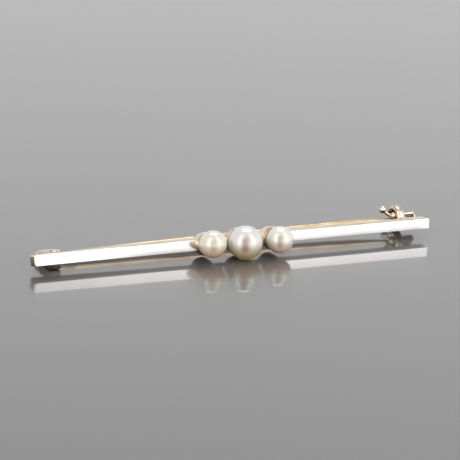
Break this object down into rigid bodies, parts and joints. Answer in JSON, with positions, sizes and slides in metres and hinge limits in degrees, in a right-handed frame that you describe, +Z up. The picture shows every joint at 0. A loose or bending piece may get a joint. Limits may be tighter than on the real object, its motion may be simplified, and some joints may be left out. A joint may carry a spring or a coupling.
{
  "type": "bar brooch",
  "caption": "Slim square bar brooch with pearls in a row of cups at its middle, a hinged pin behind and a turning safety catch.",
  "frame": {"origin": "middle of the whole brooch, on the surface that the brooch lies on", "axes": "+X along the bar to the catch end, +Y from the pearls' side to the pin's side, +Z up from the surface"},
  "size_m": [0.0646, 0.012, 0.005],
  "materials": {
    "white_gold": "polished, with fine hairline wear",
    "champagne_gold": "polished, slightly worn",
    "yellow_gold": "polished",
    "pearl": "nacre with a soft lustre"
  },
  "bodies": {
    "brooch": {"bar": "white_gold", "pearl_left": "pearl", "pearl_centre": "pearl", "pearl_right": "pearl", "hinge_rivet": "champagne_gold"},
    "pin": {"pin_stem": "yellow_gold"},
    "catch": {"catch_sleeve": "champagne_gold"}
  },
  "joints": [
    {"name": "pin_swing", "type": "hinge", "parent": "brooch", "child": "pin", "pos_m": [-0.02718, 0.00389, 0.0008], "axis": [0, 0, 1], "range_deg": [0, 100]},
    {"name": "catch_turn", "type": "hinge", "parent": "brooch", "child": "catch", "pos_m": [0.02902, 0.00414, 0.00186], "axis": [1, 0, 0], "range_deg": [0, 150]}
  ]
}
